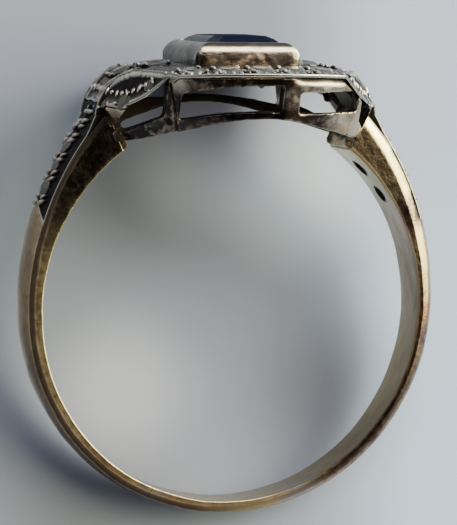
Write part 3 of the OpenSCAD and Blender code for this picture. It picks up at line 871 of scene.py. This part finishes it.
def strip_half(u, v):
    """Half the width of a shoulder's strip: almost the whole shoulder on the left, less on the right."""
    return np.where(np.asarray(u) < 0, half_width(v) - STRIP_LIP, STRIP_HALF)


def court_drop(w):
    """How far the crown falls away across the shank's width: an arc of radius COURT_R."""
    return COURT_R - np.sqrt(np.maximum(COURT_R ** 2 - w ** 2, 0))


def hoop_section(a):
    """The profile at each angle, as radius and place along the finger, with how worn and how dirty each
    point is. One half runs from the bore's middle, by the bevel, the flat side and the worn facet, to
    the crown's middle. The other half mirrors it."""
    outside = crown_radius(a)
    half = half_width(outside * 0.97 * np.sin(a))
    on_right = ramp(np.cos(a), -0.3, 0.5)
    by_strip = (1 - on_right) * ramp(np.sin(a), 0.38, 0.44)
    wide = 0.10 + 0.17 * on_right - 0.06 * by_strip
    deep = 0.12 + 0.30 * on_right + 0.16 * on_right * ramp(np.sin(a), -0.2, 0.7) - 0.06 * by_strip
    edge = outside - court_drop(half - wide)
    side_end = edge - deep
    one, none = np.ones_like(a), np.zeros_like(a)
    parts = [(FINGER_R * one, (half - BEVEL) * t, none, 0.1 * one) for t in np.linspace(0, 1, 15)]
    for turn in (math.pi / 4, math.pi / 2):
        lift = BEVEL * (1 - math.cos(turn))
        parts.append((FINGER_R + lift * one, half - BEVEL + BEVEL * math.sin(turn), one, none))
    for t in np.linspace(0.06, 1, 10):
        r = FINGER_R + BEVEL + (side_end - FINGER_R - BEVEL) * t
        dirt = ramp(side_end - r, 0.20, 0.09) * 0.95 * (1 - on_right) + ramp(t, 0.16, 0.06) * 0.6 * on_right
        parts.append((r, half, 0.15 * one * (t < 0.1), dirt))
    for t in np.linspace(0.08, 1, 8):
        turn = t * math.pi / 2
        r = side_end + deep * (0.45 * math.sin(turn) + 0.55 * t)
        w = half - wide * (0.45 * (1 - math.cos(turn)) + 0.55 * t)
        shine = math.sin(t * math.pi) ** 0.5 * (0.08 + 0.72 * on_right - 0.08 * by_strip)
        parts.append((r, w, shine, ramp(t, 1.0, 0.6) * 0.9 * (1 - on_right) * (1 - by_strip * 0.5)))
    for t in np.linspace(0.05, 1, 20):
        w = (half - wide) * (1 - t)
        parts.append((outside - court_drop(w), w, none, none))
    return [np.stack(column, -1) for column in zip(*parts)]


def mirrored(half, sign=1):
    """The whole profile from one half of it."""
    return np.concatenate([half, sign * half[:, -2:0:-1]], 1)


# The ends stop at a sloping line inside the wall, u = HOOP_END_U + END_SLOPE v, at two radii
line_share = HOOP_END_U / (math.hypot(1, END_SLOPE) * np.array([FINGER_R, HOOP_OUTER]))
last = np.arccos(line_share) - math.atan(END_SLOPE)
sweep = np.linspace(0, 1, HOOP_STATIONS)
middle_angle = math.pi / 2 + (2 * math.pi - 2 * (math.pi / 2 - last[0])) * (sweep - 0.5) + math.pi
radius, along, worn, dirty = hoop_section(middle_angle)
radius, along, worn, dirty = mirrored(radius), mirrored(along, -1), mirrored(worn), mirrored(dirty)
stretch = (last[1] - last[0]) * np.clip((radius - FINGER_R) / (HOOP_OUTER - FINGER_R), 0, 1)
from_middle = (sweep - 0.5)[:, None]
angle = middle_angle[:, None] + np.sign(from_middle) * stretch * ramp(np.abs(from_middle), 0.40, 0.5)

# The strips' beds are sunk in the crown, and the holes are pushed out from the bore
u, v = radius * np.cos(angle), radius * np.sin(angle)
bed_half = strip_half(u, v)
tail = TAIL_NOTCH + (TAIL_TIP - TAIL_NOTCH) * np.minimum(np.abs(along) / bed_half, 1)
bed = STRIP_BED * ramp(np.abs(along), bed_half + 0.03, bed_half + 0.005) * ramp(v, tail - 0.04, tail)
bed *= radius > FINGER_R + 0.5
hole, hole_shade = np.zeros_like(radius), np.zeros_like(radius)
in_bore = radius < FINGER_R + 0.01
for degrees in AZURE_ANGLES:
    for way in (math.radians(degrees), math.pi - math.radians(degrees)):
        gap = np.hypot(FINGER_R * np.arctan2(np.sin(angle - way), np.cos(angle - way)), along)
        hole = np.maximum(hole, ramp(gap, AZURE_R + 0.03, AZURE_R - 0.03) * in_bore)
        # Each hole and a thin ring round it are painted dark: painted shade in the hole
        hole_shade = np.maximum(hole_shade, ramp(gap, AZURE_R + 0.16, AZURE_R + 0.12) * in_bore)
radius = radius - bed + hole * AZURE_DEPTH
hoop = np.stack([radius * np.cos(angle), radius * np.sin(angle), along], -1)
out = np.stack([np.cos(angle), np.sin(angle), np.zeros_like(angle)], -1)
hoop += out * dents(hoop, (3.2, 13, 0.012), (1.1, 14, 0.004))[..., None]
hoop_mesh = closed_loops("gold_hoop", hoop, ends=True)
store(hoop_mesh, wear=worn, grime=np.maximum(dirty, hole_shade))
dress(hoop_mesh, *GOLD)

# %% [markdown]
# ## The stones' places
#
# The diamonds are pieces of the frame already. Their middles, sizes and facings are read from their
# own vertices, so seats and grains can be drawn round them wherever they lie.

# %% Find each diamond


def stone_of(node):
    """A round stone's girdle middle and radius and the way that it faces, in ring axes. Its vertices
    spread least along its axis, and its point, away from the table, lies furthest from their mean."""
    p = to_ring(read(frame["nodes"][node].data.vertices, "co", 3))
    p = np.unique(p.round(4), axis=0)
    mean = p.mean(0)
    way = np.linalg.svd(p - mean)[2][2]
    height = (p - mean) @ way
    way = -way if height.max() > -height.min() else way
    height = (p - mean) @ way
    spread = np.linalg.norm(p - mean - height[:, None] * way, axis=1)
    wide = spread > spread.max() * 0.97
    return p[wide].mean(0), spread.max(), way


diamonds = [n for n in sorted(frame["nodes"]) if n.startswith("diamond_")]
stones = {n: stone_of(n) for n in diamonds}
for node, finish in [(n, clear_finish) for n in diamonds] + [("sapphire", blue_finish)]:
    materials = frame["nodes"][node].data.materials
    materials.clear()
    materials.append(finish)
print("diamonds:", len(diamonds), "radii:", sorted({round(s[1], 2) for s in stones.values()}))

# %% [markdown]
# ## The plate
#
# A thin white metal sheet, soldered on the gallery and worked from above. The setter cuts a fine
# thread of metal along its rim with a graver, takes the field down beside it, drills a seat for each
# stone and raises small grains of metal over the stones' edges. Drawn as a fan of rows from the bezel
# to the rim, its relief is a sum of formulas: distance to the rim gives the thread and its groove,
# distance to each stone's axis gives the seats.

# %% Draw the plate
BEZEL_U, BEZEL_W = 2.325, 2.7
UNDER_BEZEL = 0.1
ROWS = 62
THREAD_DEPTH, SEAT_BEVEL, SEAT_SLOPE = 0.11, 0.13, 0.92
RIDGES, RIDGE_DEPTH = 34, 0.15
FLOWER_U, PETALS, PETAL_DEPTH = 3.42, 7, 0.13


def grid_normals(p):
    """Unit normals of a grid of points, from the cross product of its two directions."""
    return unit(np.cross(np.gradient(p, axis=0), np.gradient(p, axis=1)) + 1e-12)


def seats(p, some):
    """The depth of the stones' seats at each point: a bevel down to the girdle, and a cone that follows
    the stone's pavilion. A seat is as deep as the deepest that covers the point."""
    depth = np.zeros(p.shape[:-1])
    for middle, radius, way in some:
        gap = p - middle
        along = gap @ way
        away = np.linalg.norm(gap - along[..., None] * way, axis=-1)
        bevel = SEAT_BEVEL * ramp(away, radius + 0.07, radius)
        cone = SEAT_SLOPE * np.maximum(radius - away, 0)
        depth = np.maximum(depth, np.where(np.abs(along) < 0.7, bevel + cone, 0))
    return depth


# The fan's rows, from under the bezel's foot out to the rim, closer together near the rim
share = np.linspace(0, 1, ROWS)[:, None, None] ** 0.9
start = np.minimum((BEZEL_U - UNDER_BEZEL) / np.maximum(np.abs(np.cos(angles)), 1e-6),
                   (BEZEL_W - UNDER_BEZEL) / np.maximum(np.abs(np.sin(angles)), 1e-6))
inner = polar(start, angles)
plan = inner + share * (rim_line[:, [0, 2]] - inner)
top = on_top(plan)
u, w = top[..., 0], top[..., 2]
out = grid_normals(top)
out *= np.sign(out[..., 1:2])

# A thread runs along the rim, and on both sides of the scored crease between dome and corner lobe
to_rim = rim_distance(top)
fall = dome_height(u, w) - corner_height(u, w)
crease = np.abs(fall) * 0.55
edge_gap = np.minimum(to_rim, np.maximum(crease, 0.0))
scored = 0.07 * ramp(crease, 0.035, 0.0) * ramp(to_rim, 0.05, 0.1)
thread = THREAD_DEPTH * ramp(edge_gap, 0.09, 0.13) + 0.02 * ramp(to_rim, 0.04, 0.0)
inner_field = ramp(edge_gap, 0.12, 0.22)

# The corner lobes are cut in ridges like a shell's, and each end has petals round its two stones
lobe_turn = np.arctan2(np.abs(w) - CORNER_W, np.abs(u) - CORNER_U)
ridges = 0.5 + 0.5 * np.cos(lobe_turn * RIDGES + u * 1.3)
cut = RIDGE_DEPTH * ridges ** 2 * ramp(fall, 0.1, 0.3) * ramp(to_rim, 1.05, 0.85)
flower_turn = np.arctan2(w, np.abs(u) - FLOWER_U)
flower_gap = np.hypot(w, np.abs(u) - FLOWER_U)
petals = PETAL_DEPTH * ramp(np.cos(flower_turn * PETALS), -0.2, 0.5)
petals = petals * ramp(flower_gap, 0.8, 0.95) * ramp(flower_gap, 1.9, 1.5)
cut += petals * ramp(fall, 0.0, -0.1) * ramp(np.abs(u), 2.5, 2.8)
coarse = dents(top, (0.5, 21, 0.015))
field = coarse + dents(top, (0.23, 22, 0.010)) + cut
seat_depth = seats(top, [stones[n] for n in diamonds if "shoulder" not in n])
sunk = np.maximum(thread + scored + field * inner_field, seat_depth)
worked = top - out * sunk[..., None]

# The sheet's edge and its underside close it
skirt = np.stack([wall_line(angles, s) for s in (PLATE_T * 0.5, PLATE_T)])
under = top[::-4].copy()
under[..., 1] -= PLATE_T + np.maximum(seat_depth[::-4], 0)
under = under[1:]
plate_mesh = closed_loops("white_plate", np.concatenate([worked, skirt, under]))
cut_dirt = ramp(thread + scored + (field - coarse) * inner_field, 0.06, 0.17)
groove_dirt = ramp(edge_gap, 0.09, 0.12) * ramp(edge_gap, 0.30, 0.16)
plate_grime = np.zeros((ROWS + 2 + len(under), ANGLES))
plate_grime[:ROWS] = np.maximum.reduce([cut_dirt, ramp(seat_depth, 0.02, 0.10), groove_dirt])
# The underside is painted dark: painted shade under the plate
plate_grime[ROWS + 2:] = 0.9
add_wear(plate_mesh, 0.05, (0.10, 0.35), (0.08, 0.30), plate_grime.ravel())
dress(plate_mesh, *WHITE)

# %% [markdown]
# ## The bezel
#
# The collar round the sapphire is a strip of the same white metal, bent round and closed, with its
# upper edge rubbed down over the stone. Its two long sides roll over in a broad curve. In front and at
# the back the wall stands straight and turns in with a tighter one. The surface is a fan again: up the
# wall, over the rim, down into the opening and back under the stone.

# %% Draw the bezel
BEZEL_FOOT, BEZEL_TOP, SIDE_ROUND = 10.2, 11.48, 0.78
RIM_U, RIM_W, RIM_DROP = 0.57, 0.40, 0.12
FRONT_ROUND, FRONT_FALL = 0.32, 0.62
OUTER_ROUND, MOUTH_ROUND, WELL_ROUND = 0.16, 0.5, 0.4
GIRDLE_V = 11.04
STATIONS = 420
# The rows of the well under the mouth: half the width, half the length and the height of each
WELL = [(1.98, 2.5, GIRDLE_V + 0.12), (1.98, 2.5, GIRDLE_V - 0.03),
        (1.45, 1.95, 10.4), (1.45, 1.95, BEZEL_FOOT)]


def rounded_box(half_u, half_w, radius, turn):
    """A rectangle with round corners, at each turn from 0 to 1 round it. The walk's own length is spread
    over four sides and four quarter circles."""
    side_u, side_w, bend = 2 * (half_u - radius), 2 * (half_w - radius), radius * math.pi / 2
    lengths = np.array([side_w, bend, side_u, bend] * 2)
    stops = np.concatenate([[0], np.cumsum(lengths)]) / lengths.sum()
    along = np.interp(turn, stops, np.arange(9))
    leg = np.minimum(along.astype(int), 7)
    t = along - leg
    a = (leg // 2 + (leg % 2) * t) * math.pi / 2
    corner = np.array([[1, -1], [1, 1], [1, 1], [-1, 1], [-1, 1], [-1, -1], [-1, -1], [1, -1], [1, -1]])
    at = corner[leg] + (corner[leg + 1] - corner[leg]) * (t * (leg % 2 == 0))[:, None]
    return at * [half_u - radius, half_w - radius] + polar(radius, a)


def rim_height(u, w):
    """The bezel's top: the lower of the round sides and the front and back slopes."""
    du = np.clip(BEZEL_U - np.abs(u), 0, SIDE_ROUND)
    dw = np.clip(BEZEL_W - np.abs(w), 0, RIM_W)
    side_v = BEZEL_TOP - SIDE_ROUND + np.sqrt(np.maximum(SIDE_ROUND ** 2 - (SIDE_ROUND - du) ** 2, 0))
    turn_in = np.clip(1 - dw / FRONT_ROUND, 0, 1)
    front_v = BEZEL_TOP - RIM_DROP * (1 - dw / RIM_W) - FRONT_FALL * (1 - np.sqrt(1 - turn_in ** 2))
    return np.minimum(side_v, front_v)


turns = np.arange(STATIONS) / STATIONS
outer = rounded_box(BEZEL_U, BEZEL_W, OUTER_ROUND, turns)
mouth = rounded_box(BEZEL_U - RIM_U, BEZEL_W - RIM_W, MOUTH_ROUND, turns)
edge_v = rim_height(*outer.T)
rows = [raised(outer, BEZEL_FOOT + (edge_v - BEZEL_FOOT) * s) for s in np.linspace(0, 1, 14)]
for s in 1 - np.cos(np.linspace(0, math.pi / 2, 26))[1:]:
    p = outer + (mouth - outer) * s
    rows.append(raised(p, rim_height(*p.T)))
bulge = 0.10 * np.clip((np.abs(outer[:, 0]) - 1.75) / 0.55, 0, 1) ** 2 * ramp(np.abs(outer[:, 1]), 2.2, 2.5)
for k, row in enumerate(rows):
    row[:, 2] -= np.sign(row[:, 2]) * bulge * (1 - k / len(rows))
rim_v = rows[-1][:, 1]
rows += [raised(mouth * grow, rim_v - drop) for grow, drop in ((1.0, 0.06), (1.01, 0.14))]
rows += [raised(rounded_box(half_u, half_w, WELL_ROUND, turns), height) for half_u, half_w, height in WELL]
collar = np.stack(rows)
collar += grid_normals(collar) * dents(collar, (1.7, 31, 0.010), (0.6, 32, 0.004))[..., None]
bezel_mesh = closed_loops("white_bezel", collar)

# Dirt lies at the foot, under the rim and in the well. The front is darker low down and along its top,
# the sides darker low down, and painted shade runs down the left front corner
u, v, w = collar[..., 0], collar[..., 1], np.abs(collar[..., 2])
bezel_grime = np.zeros(collar.shape[:2])
bezel_grime[:2] = 0.9
bezel_grime[2] = 0.4
bezel_grime[-6:] = 0.9
front = ramp(w, 2.2, 2.4)
bezel_grime = np.maximum.reduce([
    bezel_grime,
    0.55 * ramp(v, 11.1, 10.75) * ramp(waves(collar, 0.5, 33), -0.6, 0.4) * front,
    0.7 * ramp(v, 11.30, 11.34) * front,
    0.35 * ramp(v, 11.45, 11.1) * (1 - front),
    # painted shade down the left front corner
    0.9 * ramp(np.abs(u + BEZEL_U - 0.05), 0.10, 0.04) * ramp(w, 2.45, 2.55)])
add_wear(bezel_mesh, 0.06, (0.05, 0.25), (0.15, 0.4), bezel_grime.ravel())
dress(bezel_mesh, *WHITE)

# %% [markdown]
# ## The shoulder strips
#
# Each shoulder carries a narrow channel of white metal, let into the gold, that ends below in a
# swallow tail and runs up over the end of the head. Two thin rails stand along its edges, and stones
# lie between them. Its surface is swept along two arcs, the head's rounded end and the shoulder, with
# one profile across: rail, groove, sunken floor.

# %% Draw both strips
STRIP_ROWS, ACROSS = 360, 80
STRIP_LENGTH = 6.2
BEND = 0.3
HIGH, MEET = math.radians(72), math.radians(7.6)
# Two seats at the top of each strip carry no stone: the angle of each and its radius
EMPTY_SEATS = [(48.4, 0.34), (52.6, 0.36)]


def strip_point(side_sign, t, share):
    """A point of a strip's surface before its relief. From t = 0 to BEND it follows the head's rounded
    end, and from there to t = 1 the shoulder's arc down to the tail, whose end varies across. The
    share runs from -1 to 1 across the strip."""
    a = HIGH + (MEET - HIGH) * np.clip(t / BEND, 0, 1)
    roll = polar(END_R, a) + [END_U, END_V]
    tail_v = TAIL_NOTCH + (TAIL_TIP - TAIL_NOTCH) * np.abs(share)
    first = math.asin((END_V + END_R * math.sin(MEET) - CROWN_SHIFT) / SHOULDER_R)
    last = np.arcsin((tail_v - CROWN_SHIFT) / SHOULDER_R)
    b = first + (last - first) * np.clip((t - BEND) / (1 - BEND), 0, 1)
    w = share * strip_half(side_sign, CROWN_SHIFT + SHOULDER_R * np.sin(b))
    r = SHOULDER_R - court_drop(w) * ramp(t, 0.25, 0.45)
    arc = polar(r, b) + [-SHOULDER_U, CROWN_SHIFT]
    flat = np.where((t < BEND)[..., None], roll, arc)
    return np.stack([side_sign * flat[..., 0], flat[..., 1], w], -1)


def shoulder_spot(side_sign, degrees, w):
    """Where a line at an angle from the hole's middle meets the shoulder's arc, and the way out there."""
    way = math.cos(math.radians(degrees)), math.sin(math.radians(degrees))
    u, v = arch_radius(*way) * np.array(way)
    way = unit([side_sign * (u + SHOULDER_U), v - CROWN_SHIFT, w * 0.9])
    return np.array([side_sign * u, v, w]) - way * court_drop(w), way


for side_sign, side_name in ((-1, "left"), (1, "right")):
    t, across = np.meshgrid(np.linspace(0, 1, STRIP_ROWS), np.linspace(-1, 1, ACROSS), indexing="ij")
    face = strip_point(side_sign, t, across)
    out = grid_normals(face)
    out *= np.sign((out * (face - [0, 4, 0])).sum(-1, keepdims=True))
    to_edge = np.abs(face[:, :1, 2]) - np.abs(face[..., 2])
    near_edge = np.minimum(to_edge, (1 - t) * STRIP_LENGTH)
    channel = 0.15 * ramp(near_edge, 0.045, 0.085) + 0.02 * ramp(near_edge, 0.02, 0.0) - 0.02
    own = [stones[n] for n in diamonds if "shoulder" in n and stones[n][0][0] * side_sign > 0]
    for degrees, radius in EMPTY_SEATS:
        spot, way = shoulder_spot(side_sign, degrees, 0.0)
        own.append((spot - way * 0.1, radius, way))
    seat_depth = seats(face, own)
    rough_floor = dents(face, (0.45, 41, 0.014), (0.2, 42, 0.008)) * ramp(near_edge, 0.15, 0.3)
    depth = np.maximum(channel + rough_floor, np.minimum(seat_depth + 0.02, 0.62))
    worked = face - out * depth[..., None]
    thick = 0.3 + 0.5 * ramp(t, 0.40, 0.30)
    below = (face - out * np.maximum(depth + 0.08, thick)[..., None])[:, ::-3]
    lips = worked - out * 0.06
    loops = np.concatenate([worked, lips[:, -1:], below, lips[:, :1]], axis=1)
    mesh = closed_loops("white_strip_" + side_name, loops, ends=True)
    polish, dirt = np.zeros(loops.shape[:2]), np.full(loops.shape[:2], 0.9)
    polish[:, :ACROSS] = ramp(depth, 0.05, 0.0) * 0.8
    dirt[:, :ACROSS] = np.maximum(ramp(depth, 0.03, 0.12) * 0.92, ramp(seat_depth, 0.02, 0.10))
    store(mesh, wear=polish, grime=dirt)
    dress(mesh, *WHITE)

# %% [markdown]
# ## The grains
#
# A grain is a tiny bead of metal that the setter pushes up and over a stone's edge. Each is a low dome,
# and all of them are one piece of mesh: one dome's points, scaled, turned and moved by whole arrays.
# Short bright-cut bars along the plate's rim are the same dome, drawn out.

# %% Raise the grains
SPOKES, TIERS = 10, 4
GRAIN_SHAPE = np.array([0.8, 0.9, 1.35])
STRIP_GRAIN = np.array([0.09, 0.19, 0.31])
STRIP_GRAIN_ANGLES = 29.1, 35.7, 40.5, 45.8, 49.9, 54.0
RIM_BAR, RIM_BARS, BAR_INSET = np.array([0.075, 0.11, 0.19]), 108, 0.30


def dome_template():
    """A closed low dome on the unit circle: tiers of points from below its foot up to its top."""
    spin = np.arange(SPOKES) / SPOKES * 2 * math.pi
    rings = [raised(polar(0.9, spin), -0.8)]
    rings += [raised(polar(math.cos(a), spin), math.sin(a)) for a in np.arange(TIERS) / TIERS * math.pi / 2]
    points = np.concatenate(rings + [[[0, 1.0, 0]]])
    n = len(rings)
    turn = [(j, (j + 1) % SPOKES) for j in range(SPOKES)]
    faces = [[i * SPOKES + j, i * SPOKES + k, (i + 1) * SPOKES + k, (i + 1) * SPOKES + j]
             for i in range(n - 1) for j, k in turn]
    faces += [[(n - 1) * SPOKES + j, (n - 1) * SPOKES + k, n * SPOKES] for j, k in turn]
    return points, faces + [list(range(SPOKES))]


rng = np.random.default_rng(5)
grains = []
for node, (middle, radius, way) in stones.items():
    if "shoulder" in node:
        continue
    count, size = (3, 0.09) if "corner" in node else (4, 0.13)
    first = unit(np.cross(way, [0, 0, 1]))
    second = np.cross(way, first)
    offset = math.pi / 4 if "corner" not in node else rng.uniform(0, 6)
    for k in range(count):
        a = offset + 2 * math.pi * k / count + rng.uniform(-0.12, 0.12)
        outwards = first * math.cos(a) + second * math.sin(a)
        grains.append((middle + way * 0.03 + outwards * (radius + size * 0.45), way + outwards * -0.25,
                       GRAIN_SHAPE * size * rng.uniform(0.8, 1.2, 3), rng.uniform(-0.7, 0.7)))
for side_sign in (-1, 1):
    for degrees in STRIP_GRAIN_ANGLES:
        for w in (-0.38, 0.40):
            for step in (-0.75, 0.75):
                place = degrees + step + rng.uniform(-0.2, 0.2)
                spot, way = shoulder_spot(side_sign, place, w + rng.uniform(-0.06, 0.06))
                grains.append((spot - way * 0.10, way,
                               STRIP_GRAIN * rng.uniform(0.8, 1.2, 3), 0.45 + rng.uniform(-0.15, 0.15)))
bar_angles = even_angles(RIM_BARS)
for (rim_u, _, rim_w), a in zip(wall_line(bar_angles, 0.0), bar_angles):
    inward = 1 - BAR_INSET / math.hypot(rim_u, rim_w)
    spot, beside, ahead = on_top(np.array([rim_u, rim_w]) * inward + [(0, 0), (0.02, 0), (0, 0.02)])
    way = unit(np.cross(ahead - spot, beside - spot))
    grains.append((spot - way * 0.07, way * np.sign(way[1]),
                   RIM_BAR * rng.uniform(0.65, 1.3, 3), math.pi / 2 - a + rng.uniform(-0.35, 0.35)))

template, faces = dome_template()
places, ways, sizes, spins = (np.array(column) for column in zip(*grains))
ways, spins = unit(ways), spins[:, None]
first = unit(np.cross(ways, [0.02, 0.0, 1.0]))
second = np.cross(ways, first)
first, second = (first * np.cos(spins) + second * np.sin(spins),
                 second * np.cos(spins) - first * np.sin(spins))
local = template[None] * sizes[:, None]
domes = (places[:, None] + local[..., :1] * first[:, None] + local[..., 1:2] * ways[:, None]
         + local[..., 2:] * second[:, None])
all_faces = [[i + s * len(template) for i in f] for s in range(len(grains)) for f in faces]
grain_mesh = outward_mesh("white_grains", domes, all_faces)
height = np.tile(template[:, 1], len(grains))
store(grain_mesh, wear=ramp(height, 0.3, 0.9) * 0.7, grime=ramp(height, 0.35, 0.0) * 0.9)
dress(grain_mesh, *WHITE)
